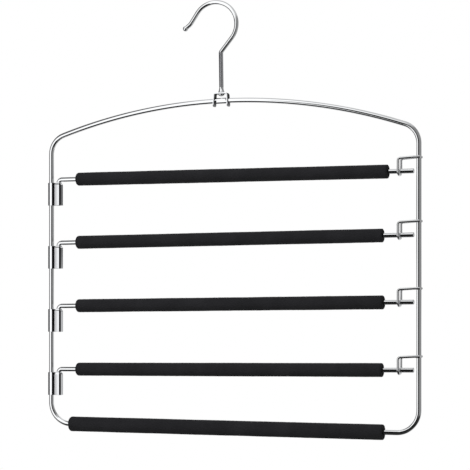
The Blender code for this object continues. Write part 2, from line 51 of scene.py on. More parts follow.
# Puts a new object with this mesh, lens or lamp in the scene
def placed(name, data):
    thing = bpy.data.objects.new(name, data)
    bpy.context.scene.collection.objects.link(thing)
    return thing


def meshFrom(bm, name):
    mesh = bpy.data.meshes.new(name)
    bm.to_mesh(mesh)
    bm.free()
    return mesh


# Applies a piece's modifiers, so that it becomes a plain mesh
def freeze(piece):
    bpy.context.view_layer.update()
    plain = bpy.data.meshes.new_from_object(piece.evaluated_get(bpy.context.evaluated_depsgraph_get()))
    piece.modifiers.clear()
    piece.data = plain
    plain.name = piece.name
    return plain


cameraView = {
    "azimuth": 20.0,  # degrees to the right of straight on
    "aim": (0.0203, 0.0, -0.2928),  # point of the hanger's plane on the lens axis
    "distance": 1.775,
    "lens": 135.957,
    "sensorWidth": 36.0,
    "shiftUp": 0.1298,
}


def makeCamera():
    turn = radians(cameraView["azimuth"])
    data = bpy.data.cameras.new("photoCamera")
    data.lens = cameraView["lens"]
    data.sensor_width = cameraView["sensorWidth"]
    data.sensor_fit = "HORIZONTAL"
    data.shift_y = cameraView["shiftUp"]
    camera = placed("photoCamera", data)
    back = Vector((sin(turn), -cos(turn), 0.0))
    camera.location = Vector(cameraView["aim"]) + back * cameraView["distance"]
    camera.rotation_euler = (radians(90), 0.0, turn)
    bpy.context.scene.camera = camera


makeCamera()
print("camera set")


def fillRamp(ramp, stops):
    while len(ramp.elements) < len(stops):
        ramp.elements.new(1.0)
    for element, (place, shade) in zip(ramp.elements, stops):
        element.position = place
        element.color = (shade, shade, shade, 1)


# One operator of a wire and its reflected form, as Math nodes
def mathsPair(operation):
    return (lambda self, other: self.maths(operation, self, other),
            lambda self, other: self.maths(operation, other, self))


# One socket of a node tree. Its operators add Math nodes, so shader and geometry maths reads as expressions.
class Wire:
    __add__, __radd__ = mathsPair("ADD")
    __sub__, __rsub__ = mathsPair("SUBTRACT")
    __mul__, __rmul__ = mathsPair("MULTIPLY")
    __truediv__, __rtruediv__ = mathsPair("DIVIDE")
    __gt__ = mathsPair("GREATER_THAN")[0]

    def __init__(self, tree, socket=None):
        self.tree = tree
        self.socket = socket

    # Adds a node: its settings first, then the values or links of its sockets. Gives one of its outputs.
    def add(self, kind, settings=None, values=None, output=0):
        node = self.tree.nodes.new(kind)
        for name, value in (settings or {}).items():
            if name == "stops":
                fillRamp(node.color_ramp, value)
            else:
                setattr(node, name, value)
        for key, value in (values or {}).items():
            if isinstance(value, Wire):
                self.tree.links.new(value.socket, node.inputs[key])
            else:
                node.inputs[key].default_value = value
        return Wire(self.tree, node.outputs[output]) if node.outputs else None

    def out(self, name):
        return Wire(self.tree, self.socket.node.outputs[name])

    def into(self, node, name):
        self.tree.links.new(self.socket, node.inputs[name])

    def maths(self, operation, *terms):
        return self.add("ShaderNodeMath", {"operation": operation}, dict(enumerate(terms)))

    def noise(self, place, scale, detail, roughness=0.5):
        return self.add("ShaderNodeTexNoise", None, {
            "Vector": place, "Scale": scale, "Detail": detail, "Roughness": roughness})

    def attribute(self, name, output="Fac"):
        return self.add("ShaderNodeAttribute", {"attribute_name": name}, None, output)

    # This value's range, low to high, mapped to 0 to 1
    def ramped(self, low, high, easing="LINEAR"):
        return self.add("ShaderNodeMapRange", {"interpolation_type": easing}, {
            0: self, 1: low, 2: high, 3: 0.0, 4: 1.0})

    # One colour where this value is 0 and another where it is 1
    def tint(self, none, full):
        ends = [colour if isinstance(colour, Wire) else (*colour, 1) for colour in (none, full)]
        return self.add("ShaderNodeMix", {"data_type": "RGBA"}, {0: self, 6: ends[0], 7: ends[1]}, 2)

    # A bump of this height, over another one where it is given
    def bump(self, strength, depth, **under):
        return self.add("ShaderNodeBump", None, {
            "Strength": strength, "Distance": depth, "Height": self, **under})


# A new material, its node tree, its shader and the place on the object
def startMaterial(name):
    material = bpy.data.materials.new(name)
    material.use_nodes = True
    nodes = Wire(material.node_tree)
    place = nodes.add("ShaderNodeTexCoord", None, None, "Object")
    return material, nodes, material.node_tree.nodes["Principled BSDF"], place


chromeLook = {
    "colour": (0.86, 0.87, 0.88),
    "shade": (0.70, 0.71, 0.73),  # where the plating is thin or handled
    "roughness": 0.02,
    "lineRoughness": 0.05,  # along the faint lines that the drawing die left
    "linesAround": 11.0,
    "linesAlong": 22.0,
    "lineDepth": 0.0000012,
    "lineStrength": 0.5,
    "drawnRange": (0.48, 0.72),
    "drawnShade": 0.15,
    "cloudSize": 0.018,
    "handledRange": (0.42, 0.75),
    "handledShade": 0.35,
    "handledRoughness": 0.03,
    "satin": (0.80, 0.81, 0.83),  # the shank, brushed instead of polished
    "satinShade": (0.46, 0.46, 0.48),
    "bandScale": 0.22,  # of the brushing, against the drawing lines
    "bandRange": (0.38, 0.62),
    "satinPaintedShade": (0.09, 0.09, 0.10),  # painted shade: the shank darker down its side towards the hook's point
    "paintedShadeEdge": (-0.0016, 0.0018),
    "satinRoughness": 0.32,
}


# Chromed wire. Its drawing lines follow the sweep, and its satin attribute says where it is brushed.
def chromeWire(name):
    look = chromeLook
    material, nodes, shader, place = startMaterial(name)
    around = nodes.add("ShaderNodeSeparateXYZ", None, {0: nodes.attribute("ringSide", "Vector")})
    satin = nodes.attribute("satin")
    spot = nodes.add("ShaderNodeCombineXYZ", None, {
        0: around.out("X") * look["linesAround"], 1: around.out("Y") * look["linesAround"],
        2: nodes.attribute("alongWire") * look["linesAlong"]})
    lines = nodes.noise(spot, 1.0, 3.0, 0.6)
    broad = nodes.noise(spot, look["bandScale"], 2.0)
    clouds = nodes.noise(place, 1 / look["cloudSize"], 4.0, 0.55)
    drawn = lines.ramped(*look["drawnRange"])
    handled = clouds.ramped(*look["handledRange"])
    worn = handled * look["handledShade"] + drawn * look["drawnShade"]
    bright = worn.tint(look["colour"], look["shade"])
    banded = broad.ramped(*look["bandRange"]) * 0.7 + drawn * 0.3
    brushed = banded.tint(look["satin"], look["satinShade"])
    across = nodes.add("ShaderNodeSeparateXYZ", None, {0: place}).out("X")
    # painted shade: the shank's side towards the hook's point is darkened
    left, right = look["paintedShadeEdge"]
    shadedSide = 1 - across.ramped(shankX + left, shankX + right, "SMOOTHSTEP")
    brushed = (shadedSide * (0.8 + drawn * 0.2)).tint(brushed, look["satinPaintedShade"])
    rough = look["roughness"] + drawn * (look["lineRoughness"] - look["roughness"])
    rough = rough + handled * look["handledRoughness"]
    satin.tint(bright, brushed).into(shader, "Base Color")
    (rough + satin * (look["satinRoughness"] - look["roughness"])).into(shader, "Roughness")
    lines.bump(look["lineStrength"], look["lineDepth"]).into(shader, "Normal")
    shader.inputs["Metallic"].default_value = 1.0
    return material


stripLook = {
    "colour": (0.84, 0.85, 0.87),
    "shade": (0.62, 0.63, 0.66),
    "burnt": (0.003, 0.003, 0.004),  # painted shade and painted dark reflection, near black where a piece marks it: tight bends, creases, punched rims, leg ends
    "roughness": 0.04,
    "rollRoughness": 0.09,
    "paintedShadeRoughness": 0.45,
    "rollWidth": 0.00018,
    "rollLength": 0.006,
    "rollRange": (0.45, 0.75),
    "rollShade": 0.4,
    "rollDepth": 0.000003,
    "rollStrength": 0.35,
    "waveSize": 0.0024,
    "waveDepth": 0.000005,
    "waveStrength": 0.6,
    "specular": 0.1,
}


# Chromed strip: rolling marks run one way, over a slight waviness from the press
def chromeStrip(name, direction):
    look = stripLook
    material, nodes, shader, place = startMaterial(name)
    scale = [1 / look["rollWidth"]] * 3
    scale["XYZ".index(direction)] = 1 / look["rollLength"]
    stretched = nodes.add("ShaderNodeMapping", None, {0: place, "Scale": scale})
    marks = nodes.noise(stretched, 1.0, 3.0)
    waves = nodes.noise(place, 1 / look["waveSize"], 2.0)
    marked = marks.ramped(*look["rollRange"])
    # painted shade: this attribute turns the plating near black, dull and unmetallic where a fitting marks it
    burnt = nodes.attribute("burnt")
    plated = (marked * look["rollShade"]).tint(look["colour"], look["shade"])
    burnt.tint(plated, look["burnt"]).into(shader, "Base Color")
    rough = look["roughness"] + marked * (look["rollRoughness"] - look["roughness"])
    (rough + burnt * (look["paintedShadeRoughness"] - look["roughness"])).into(shader, "Roughness")
    (1 - burnt).into(shader, "Metallic")
    fine = marks.bump(look["rollStrength"], look["rollDepth"])
    waves.bump(look["waveStrength"], look["waveDepth"], Normal=fine).into(shader, "Normal")
    shader.inputs["Specular IOR Level"].default_value = look["specular"]
    return material


foamLook = {
    "colour": (0.0130, 0.0130, 0.0150),
    "worn": (0.0230, 0.0230, 0.0260),
    "cut": (0.0060, 0.0060, 0.0066),
    "pebbleSize": 0.00075,
    "poreSize": 0.00030,
    "rubSize": 0.018,
    "raisedRange": (0.25, 0.65),
    "raisedShade": 0.25,
    "rubRange": (0.40, 0.72),
    "rubShade": 0.45,
    "pebbleDepth": 0.00009,
    "pebbleStrength": 0.8,
    "roughness": 0.78,
    "poreRoughness": 0.12,
    "cutRoughness": 0.08,
    "specular": 0.28,
}


# Black foam: a closed pebbled skin, finely pored, a touch greyer where trousers rub it
def blackFoam(name):
    look = foamLook
    material, nodes, shader, place = startMaterial(name)
    cut = nodes.attribute("cutEnd")
    pebbles = nodes.add("ShaderNodeTexVoronoi", {"feature": "SMOOTH_F1"}, {
        "Vector": place, "Scale": 1 / look["pebbleSize"], "Smoothness": 0.6})
    pores = nodes.noise(place, 1 / look["poreSize"], 2.0)
    raised = 1 - pebbles.ramped(*look["raisedRange"])
    rubbed = nodes.noise(place, 1 / look["rubSize"], 5.0).ramped(*look["rubRange"])
    mottled = (rubbed * look["rubShade"] + raised * look["raisedShade"]).tint(look["colour"], look["worn"])
    cut.tint(mottled, look["cut"]).into(shader, "Base Color")
    (look["roughness"] + pores * look["poreRoughness"] + cut * look["cutRoughness"]).into(shader, "Roughness")
    height = 1.0 - pebbles * 0.9 + pores * 0.35
    height.bump(look["pebbleStrength"], look["pebbleDepth"]).into(shader, "Normal")
    shader.inputs["Specular IOR Level"].default_value = look["specular"]
    return material


finishes = {piece: chromeWire(piece + "Chrome") for piece in ("frame", "hook", "arm", "keeper")}
for piece, grain in (("saddle", "Y"), ("bracket", "Z"), ("weld", "X")):
    finishes[piece] = chromeStrip(piece + "Chrome", grain)
finishes["ring"] = chromeStrip("ringSteel", "Z")
finishes["foam"] = blackFoam("blackFoam")
print("finishes made:", len(finishes))


quarterTurn = pi / 2


def eased(share):
    return share * share * (3 - 2 * share)


def arc(centreX, centreZ, radius, start, end, steps):
    angles = [start + (end - start) * step / steps for step in range(steps + 1)]
    return [(centreX + radius * cos(angle), centreZ + radius * sin(angle)) for angle in angles]


# Rounds the corners of a bent line: each corner is a point and its bend radius
def roundCorners(corners, steps):
    path = [Vector(corners[0][0])]
    for (before, _), (corner, radius), (after, _) in zip(corners, corners[1:], corners[2:]):
        corner = Vector(corner)
        toBefore = (Vector(before) - corner).normalized()
        toAfter = (Vector(after) - corner).normalized()
        half = toBefore.angle(toAfter) / 2
        centre = corner + (toBefore + toAfter).normalized() * radius / sin(half)
        first = corner + toBefore * radius / tan(half) - centre
        last = corner + toAfter * radius / tan(half) - centre
        turn = first.rotation_difference(last)
        for step in range(steps + 1):
            path.append(centre + Matrix.Rotation(turn.angle * step / steps, 3, turn.axis) @ first)
    path.append(Vector(corners[-1][0]))
    return path


wireRuns = {
    "longFrom": 0.006,  # a straight run longer than this gets a point near each of its ends
    "nearEnd": 0.0004,
    "crispFrom": 38,  # degrees, from which an edge shades sharp
}


# Points near both ends of each long straight run, so that a bend's shading stays in the bend
def steadyRuns(stations, closed):
    steady = []
    follow = stations[1:] + stations[:1] if closed else stations[1:]
    for (spot, girth, satin), (after, nextGirth, nextSatin) in zip(stations, follow):
        steady.append((spot, girth, satin))
        run = after - spot
        if run.length > wireRuns["longFrom"]:
            step = run.normalized() * wireRuns["nearEnd"]
            steady += [(spot + step, girth, satin), (after - step, nextGirth, nextSatin)]
    return steady if closed else steady + stations[-1:]


# A line of stations for a sweep. Each is a point, its girth as a share of the wire, and how satin it is.
def lineMesh(name, stations, closed=False):
    stations = steadyRuns(stations, closed)
    edges = [(i, i + 1) for i in range(len(stations) - 1)]
    if closed:
        edges.append((len(stations) - 1, 0))
    mesh = bpy.data.meshes.new(name)
    mesh.from_pydata([tuple(spot) for spot, _, _ in stations], edges, [])
    for place, label in ((1, "girth"), (2, "satin")):
        values = [station[place] for station in stations]
        mesh.attributes.new(label, "FLOAT", "POINT").data.foreach_set("value", values)
    return mesh


def startGeometryTree(name, inputs):
    tree = bpy.data.node_groups.new(name, "GeometryNodeTree")
    tree.interface.new_socket("Geometry", in_out="INPUT", socket_type="NodeSocketGeometry")
    for label, kind in inputs:
        tree.interface.new_socket(label, in_out="INPUT", socket_type="NodeSocket" + kind)
    tree.interface.new_socket("Geometry", in_out="OUTPUT", socket_type="NodeSocketGeometry")
    return tree, Wire(tree).add("NodeGroupInput")


def endGeometryTree(tree, shape, finish):
    whole = shape.add("GeometryNodeRealizeInstances", None, {0: shape})
    dressed = shape.add("GeometryNodeSetMaterial", None, {0: whole, "Material": finish})
    shape.add("NodeGroupOutput", None, {0: dressed})
    return tree


# Smooth faces, with the edges sharper than an angle left crisp
def smoothBut(shape, degrees):
    smooth = shape.add("GeometryNodeSetShadeSmooth", {"domain": "FACE"}, {0: shape, "Shade Smooth": True})
    sharp = shape.add("GeometryNodeInputMeshEdgeAngle") > radians(degrees)
    return shape.add("GeometryNodeSetShadeSmooth", {"domain": "EDGE"}, {
        0: smooth, 1: sharp, "Shade Smooth": False})


# Runs a tree on a mesh and keeps the result as a plain mesh
def growMesh(name, mesh, tree, values):
    piece = placed(name, mesh)
    modifier = piece.modifiers.new(tree.name, "NODES")
    modifier.node_group = tree
    for item in tree.interface.items_tree:
        if item.in_out == "INPUT" and item.name in values:
            modifier[item.identifier] = values[item.name]
    freeze(piece)
    return piece


def dress(piece, body, slot, *replaced):
    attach(piece, body)
    if replaced:
        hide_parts(*replaced)


# Sweeps a round wire along a bent line, its thickness following the line's girth
def wireSweepTree():
    tree, given = startGeometryTree("wireSweep", [
        ("Wire Radius", "Float"), ("Sides", "Int"), ("Material", "Material")])
    length = given.add("GeometryNodeSplineParameter", None, None, "Length")
    girth = given.add("GeometryNodeInputNamedAttribute", {"data_type": "FLOAT"}, {0: "girth"})
    place = given.add("GeometryNodeInputPosition")
    line = given.add("GeometryNodeMeshToCurve", None, {0: given.out("Geometry")})
    line = given.add("GeometryNodeStoreNamedAttribute", {"data_type": "FLOAT", "domain": "POINT"}, {
        0: line, "Name": "alongWire", "Value": length})
    ring = given.add("GeometryNodeCurvePrimitiveCircle", None, {
        "Resolution": given.out("Sides"), "Radius": 1.0})
    ring = given.add("GeometryNodeStoreNamedAttribute", {"data_type": "FLOAT_VECTOR", "domain": "POINT"}, {
        0: ring, "Name": "ringSide", "Value": place})
    swept = given.add("GeometryNodeCurveToMesh", None, {
        0: line, 1: ring, "Scale": girth * given.out("Wire Radius"), "Fill Caps": True})
    return endGeometryTree(tree, smoothBut(swept, wireRuns["crispFrom"]), given.out("Material"))


wireSweep = wireSweepTree()


def sweepWire(name, stations, radius, sides, finish, closed=False):
    mesh = lineMesh(name, stations, closed)
    return growMesh(name, mesh, wireSweep, {"Wire Radius": radius, "Sides": sides, "Material": finish})


def plainStations(path):
    return [(Vector(point), 1.0, 0.0) for point in path]


frameLoop = {
    "wireRadius": 0.0025,
    "archRadius": 0.577,
    "shoulderRadius": 0.020,
    "cornerRadius": 0.022,
    "flatHeight": 0.0059,  # the wire is pressed taller and thinner between the saddle's legs
    "flatDepth": 0.0040,
    "flatLength": 0.0095,
    "flatRunOut": 0.0015,
    "crownDrop": 0.008,  # the arch's crown, under the top of the saddle
    "archZone": 0.03,  # the press reaches no lower than this under the crown
    "flatMargin": 0.001,  # of fine steps past the run-out
    "sides": 32,
}
frameWire = frameLoop["wireRadius"]
saddleTop = saddleHigh.z
frameLow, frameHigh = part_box("frame_wire")
leftX = frameLow.x + frameWire
rightX = frameHigh.x - frameWire
crownZ = saddleTop - frameLoop["crownDrop"]
bottomZ = frameLow.z + frameWire
middleX = (leftX + rightX) / 2


def archZ(x):
    radius = frameLoop["archRadius"]
    return crownZ - radius + sqrt(radius ** 2 - (x - middleX) ** 2)


# How much of the press's flat the wire has at a place along the arch, eased in over the run-out
def flatShare(x):
    past = abs(x - shankX) - frameLoop["flatLength"] / 2
    return eased(min(max(1 - past / frameLoop["flatRunOut"], 0.0), 1.0))


def pressFlat(mesh):
    flatter = frameLoop["flatDepth"] / frameWire / 2 - 1
    taller = frameLoop["flatHeight"] / frameWire / 2 - 1
    for vert in mesh.vertices:
        share = flatShare(vert.co.x)
        if share and vert.co.z > crownZ - frameLoop["archZone"]:
            middle = archZ(vert.co.x)
            vert.co.y *= 1 + flatter * share
            vert.co.z = middle + (vert.co.z - middle) * (1 + taller * share)


def makeFrameLoop():
    half = (rightX - leftX) / 2
    arch, shoulder, corner = (frameLoop[key] for key in ("archRadius", "shoulderRadius", "cornerRadius"))
    shoulderX = half - shoulder
    archCentre = crownZ - arch
    shoulderZ = archCentre + sqrt((arch - shoulder) ** 2 - shoulderX ** 2)
    archAngle = acos(shoulderX / (arch - shoulder))
    flatReach = frameLoop["flatLength"] / 2 + frameLoop["flatRunOut"] + frameLoop["flatMargin"]
    crown = [spot for spot in arc(0, archCentre, arch, pi - archAngle, archAngle, 110)[1:]
             if abs(spot[0] + middleX - shankX) > flatReach]
    for step in range(-20, 21):
        x = shankX + flatReach * step / 20
        crown.append((x - middleX, archZ(x)))
    line = arc(corner - half, bottomZ + corner, corner, -quarterTurn, -pi, 20)
    line += arc(-shoulderX, shoulderZ, shoulder, pi, pi - archAngle, 18)
    line += sorted(crown)
    line += arc(shoulderX, shoulderZ, shoulder, archAngle, 0, 18)[1:]
    line += arc(half - corner, bottomZ + corner, corner, 0, -quarterTurn, 20)
    stations = plainStations((middleX + x, 0, z) for x, z in line)
    piece = sweepWire("frameLoop", stations, frameWire, frameLoop["sides"], finishes["frame"], True)
    pressFlat(piece.data)
    dress(piece, "frame", "frame_steel", "frame_wire")


makeFrameLoop()
print("frame loop made")

hookShape = {
    "wireRadius": 0.0022,
    "bendRadius": 0.0225,
    "widening": 1.015,  # the bend is a little wider than it is tall
    "bendAside": 0.0010,
    "startAngle": 146.0,
    "returnAngle": 40.6,
    "neckBend": 0.003,
    "neckLean": 0.0005,
    "flareLead": 0.0117,
    "flareRadius": 0.010,
    "flareAngle": 19.0,
    "tipLength": 0.0050,
    "ballRadius": 0.0027,
    "coneHeight": 0.0046,
    "coneRadius": 0.0033,
    "coneHollow": 1.7,
    "neckRadius": 0.0019,
    "headRadius": 0.0031,
    "headHeight": 0.0023,
    "seatGap": 0.0003,
    "landHeight": 0.0003,  # the cone's straight foot, with its edge broken
    "landEdges": (0.00006, 0.00025),
    "headEdge": 0.0002,
    "satin": 1.0,
    "satinFoot": 0.0006,  # the brushing ends this far over the cone
    "sides": 32,
}
saddleShape = {
    "thickness": 0.0011,
    "topWidth": 0.0149,
    "bendRadius": 0.0020,
    "splay": 3.2,
    "stripWidth": 0.0080,
    "endRadius": 0.0025,
    "wireHole": 0.0028,
    "neckHole": 0.00215,
    "rimShade": 1.0,  # painted shade: how dark the punched rims are
    "endShade": 0.5,  # and the painted shade at the ends of the legs
    "endReach": 0.8,  # of endRadius
    "edge": 0.00016,
    "edgeFrom": 50,  # degrees, from which an edge is broken
    "crispFrom": 32,
    "slices": 60,  # across each half of the flat strip, to bend it by
    "holeSides": 40,
    "holeSearch": 0.00002,  # step in looking for where the wire passes a leg
}


# Ball, seen from the wire's end: distance past the end of the flare, and radius
def ballProfile():
    ball = hookShape["ballRadius"]
    meeting = asin(hookShape["wireRadius"] / ball)
    tip = radians(178)  # just short of the pole, so that the wire's cap is tiny
    profile = []
    for step in range(17):
        angle = tip + (meeting - tip) * step / 16
        profile.append((hookShape["tipLength"] - ball * cos(angle), ball * sin(angle)))
    return profile


# Cone on the plate, neck through it and rivet head under it: height and radius, from the top down
def footProfile():
    shape = hookShape
    seat = saddleTop + shape["seatGap"]
    under = saddleTop - saddleShape["thickness"] - shape["seatGap"]
    tall = shape["coneHeight"]
    land, cone, neck = shape["landHeight"], shape["coneRadius"], shape["neckRadius"]
    profile = [(seat + tall + land, shape["wireRadius"])]
    for step in range(13):
        share = step / 13
        swell = (cone - shape["wireRadius"]) * share ** shape["coneHollow"]
        profile.append((seat + tall * (1 - share), shape["wireRadius"] + swell))
    first, last = [cone - cut for cut in shape["landEdges"]]
    profile += [(seat + land, cone), (seat + land / 3, first), (seat, last), (seat, neck), (under, neck)]
    head, edge = shape["headRadius"], shape["headEdge"]
    profile += [(under, head - edge), (under - edge * 0.4, head - edge * 0.2)]
    for step in range(9):
        angle = radians(84) * step / 8
        deep = edge + (shape["headHeight"] - edge) * sin(angle)
        profile.append((under - deep, head * cos(angle)))
    return profile


# Middle of the wire: flare, straight lead and bend from the ball's end, then the neck down to the shank
def hookBend():
    shape = hookShape
    start, returned = radians(shape["startAngle"]), radians(shape["returnAngle"])
    radius, flare = shape["bendRadius"], shape["flareRadius"]
    facing = start - pi
    leadX = radius * cos(start) - sin(start) * shape["flareLead"]
    leadZ = radius * sin(start) + cos(start) * shape["flareLead"]
    line = arc(leadX - flare * cos(facing), leadZ - flare * sin(facing), flare,
               facing - radians(shape["flareAngle"]), facing, 12)
    line += arc(0, 0, radius, start, -returned, 64)
    aside, rise = shankX + shape["bendAside"], shape["wireRadius"] - radius
    line = [(x * shape["widening"] - aside, z + rise) for x, z in line]
    tip = (Vector(line[0]) - Vector(line[1])).normalized()
    ball = [(tuple(Vector(line[0]) + tip * reach), size) for reach, size in ballProfile()]
    leave, before = Vector(line[-1]), Vector(line[-2])
    lean = atan2(before.x - leave.x, before.y - leave.y)
    bend = shape["neckBend"]
    neckX = bend * (1 - cos(lean)) - shape["neckLean"]
    neckTop = leave.y + (neckX - leave.x) / tan(lean) - bend * sin(lean)
    neck = arc(bend - shape["neckLean"], neckTop, bend, pi - lean, pi, 14)
    return ball, line, neck


def makeHook():
    wire = hookShape["wireRadius"]
    ball, bend, neck = hookBend()
    rows = [(spot, radius, 0.0) for spot, radius in ball]
    rows += [(spot, wire, 0.0) for spot in bend]
    for step, spot in enumerate(neck):
        rows.append((spot, wire, hookShape["satin"] * step / (len(neck) - 1)))
    foot = footProfile()
    rows.append(((0.0, foot[0][0] + hookShape["satinFoot"]), wire, hookShape["satin"]))
    rows += [((0.0, height), radius, 0.0) for height, radius in foot]
    stations = [(Vector((shankX + x, 0, z)), radius / wire, satin) for (x, z), radius, satin in rows]
    piece = sweepWire("hookWire", stations, wire, hookShape["sides"], finishes["hook"])
    dress(piece, "hook", "hook_steel", "hook")


makeHook()
print("hook made")


# Middle of the bent strip, from the middle of its top down the right leg
def saddleLine():
    shape = saddleShape
    mid = shape["thickness"] / 2
    splay = radians(shape["splay"])
    drop = saddleTop - saddleLow.z
    bendX = shape["topWidth"] / 2 - mid - shape["bendRadius"]
    right = [(0.0, -mid)]
    right += arc(bendX, -mid - shape["bendRadius"], shape["bendRadius"], quarterTurn, splay, 12)
    footX, footZ = right[-1]
    right.append((footX + (footZ + drop) * tan(splay), -drop))
    return right


def walkLine(line, distance):
    for (x0, z0), (x1, z1) in zip(line, line[1:]):
        length = hypot(x1 - x0, z1 - z0)
        if distance <= length or (x1, z1) == line[-1]:
            share = distance / length
            return x0 + (x1 - x0) * share, z0 + (z1 - z0) * share
        distance -= length


def flatSaddle(length, wireAt):
    shape = saddleShape
    half = shape["stripWidth"] / 2
    end = shape["endRadius"]
    outline = []
    for sideX, sideY, start in ((1, 1, 0), (-1, 1, 90), (-1, -1, 180), (1, -1, 270)):
        outline += arc(sideX * (length - end), sideY * (half - end), end,
                       radians(start), radians(start + 90), 10)
    holes = [arc(x, 0, shape[hole], 0, 2 * pi, shape["holeSides"])[:-1]
             for x, hole in ((-wireAt, "wireHole"), (wireAt, "wireHole"), (0, "neckHole"))]
    bm = bmesh.new()
    # painted shade and painted dark reflection on the punched rims and at the legs' ends
    burnt = bm.verts.layers.float.new("burnt")
    for loop in [outline] + holes:
        verts = [bm.verts.new((x, y, 0)) for x, y in loop]
        for vert in verts:
            outside = shape["endShade"] if abs(vert.co.x) > length - end * shape["endReach"] else 0.0
            vert[burnt] = outside if loop is outline else shape["rimShade"]
        for i in range(len(verts)):
            bm.edges.new((verts[i - 1], verts[i]))
    bmesh.ops.triangle_fill(bm, use_beauty=True, use_dissolve=False, edges=list(bm.edges))
    slices = shape["slices"]
    for step in range(-slices, slices + 1):
        bmesh.ops.bisect_plane(bm, geom=list(bm.verts) + list(bm.edges) + list(bm.faces),
                               plane_co=(length * step / slices, 0, 0), plane_no=(1, 0, 0), dist=1e-7)
    return bm


def makeSaddle():
    shape = saddleShape
    line = saddleLine()
    length = sum(hypot(b[0] - a[0], b[1] - a[1]) for a, b in zip(line, line[1:]))
    wireAt = 0.0  # along the strip, to where a leg meets the middle of the frame wire
    while -walkLine(line, wireAt)[1] < saddleTop - archZ(shankX):
        wireAt += shape["holeSearch"]
    bm = flatSaddle(length, wireAt)
    for vert in bm.verts:
        side = 1 if vert.co.x > 0 else -1
        x, z = walkLine(line, abs(vert.co.x))
        vert.co = Vector((shankX + side * x, vert.co.y, saddleTop + z))
    bmesh.ops.recalc_face_normals(bm, faces=bm.faces)
    piece = placed("saddleStrip", meshFrom(bm, "saddleStrip"))
    wall = piece.modifiers.new("wall", "SOLIDIFY")
    wall.thickness = shape["thickness"]
    wall.offset = 0.0
    edge = piece.modifiers.new("edge", "BEVEL")
    edge.width = shape["edge"]
    edge.segments = 2
    edge.limit_method = "ANGLE"
    edge.angle_limit = radians(shape["edgeFrom"])
    solid = freeze(piece)
    solid.shade_smooth()
    solid.set_sharp_from_angle(angle=radians(shape["crispFrom"]))
    solid.materials.append(finishes["saddle"])
    dress(piece, "frame", "saddle_steel", "hook_saddle")


makeSaddle()
print("saddle made")

armShape = {
    "wireRadius": 0.0021,
    "runGirth": 1.12,  # the wire past the pin, against the drawn down pin
    "elbowRadius": 0.0041,
    "pinDrop": 0.0263,
    "footHeight": 0.0012,
    "grooveHeight": 0.0022,
    "grooveRadius": 0.0015,
    "grooveEdge": 0.00005,
    "endChamfer": 0.0006,
    "easeSteps": 5,  # points of the elbow over which the wire grows
    "sides": 28,
}
foamShape = {
    "skin": {"Pebble Size": 0.0016, "Pebble Depth": 0.00016, "Slump Size": 0.040, "Slump Depth": 0.00022},
    "armSeed": 3.1,  # step from arm to arm
    "bottomSeed": 17.9,
    "slumpSeed": 7.3,
    "crispFrom": 60,  # degrees
    "around": 72,
    "step": 0.0008,
    "leftRounding": 0.0025,
    "rightRounding": 0.0013,
    "roundCut": 0.35,  # how much the rounded ends look like cut foam
    "leftDish": 0.0004,
    "rightDish": 0.0010,
    "boreMouth": 0.0006,
    "boreGap": 0.00005,
}


# Pebbles and slow slumps pushed into a turned sleeve along its normals
def foamSkinTree():
    tree, given = startGeometryTree("foamSkin", [
        ("Pebble Size", "Float"), ("Pebble Depth", "Float"), ("Slump Size", "Float"),
        ("Slump Depth", "Float"), ("Seed", "Float"), ("Material", "Material")])
    skin = given.add("GeometryNodeInputNamedAttribute", {"data_type": "FLOAT"}, {0: "skin"})
    pebbles = given.add("ShaderNodeTexNoise", {"noise_dimensions": "4D"}, {
        "W": given.out("Seed"), "Scale": 1 / given.out("Pebble Size"), "Detail": 1.0})
    slumps = given.add("ShaderNodeTexNoise", {"noise_dimensions": "4D"}, {
        "W": given.out("Seed") + foamShape["slumpSeed"], "Scale": 1 / given.out("Slump Size"), "Detail": 1.0})
    push = (pebbles - 0.5) * 2 * given.out("Pebble Depth")
    push = push + (slumps - 0.5) * 2 * given.out("Slump Depth")
    normal = given.add("GeometryNodeInputNormal")
    offset = given.add("ShaderNodeVectorMath", {"operation": "SCALE"}, {0: normal, "Scale": push * skin})
    moved = given.add("GeometryNodeSetPosition", None, {0: given.out("Geometry"), "Offset": offset})
    return endGeometryTree(tree, smoothBut(moved, foamShape["crispFrom"]), given.out("Material"))


foamSkin = foamSkinTree()


# Sleeve's outline along its axis: distance, radius and how much of it is the cut end
def foamProfile(length, outer, bore):
    shape = foamShape
    left, right, rounded = (shape[key] for key in ("leftRounding", "rightRounding", "roundCut"))
    run = length - left - right
    count = int(run / shape["step"])
    profile = [(shape["boreMouth"], bore, 1.0)]
    for step in range(1, 5):
        dish = shape["leftDish"] * (1 - cos(pi * step / 8))
        profile.append((dish, bore + (outer - left - bore) * step / 5, 1.0))
    profile += [(-x, y, rounded) for x, y in arc(-left, outer - left, left, 0, quarterTurn, 10)]
    profile += [(left + run * step / count, outer, 0.0) for step in range(1, count)]
    profile += [(x, y, rounded) for x, y in arc(length - right, outer - right, right, quarterTurn, 0, 8)]
    for step in range(1, 6):
        dish = shape["rightDish"] * sin(quarterTurn * step / 5)
        profile.append((length - dish, outer - right - (outer - right - bore) * step / 5, 1.0))
    return profile


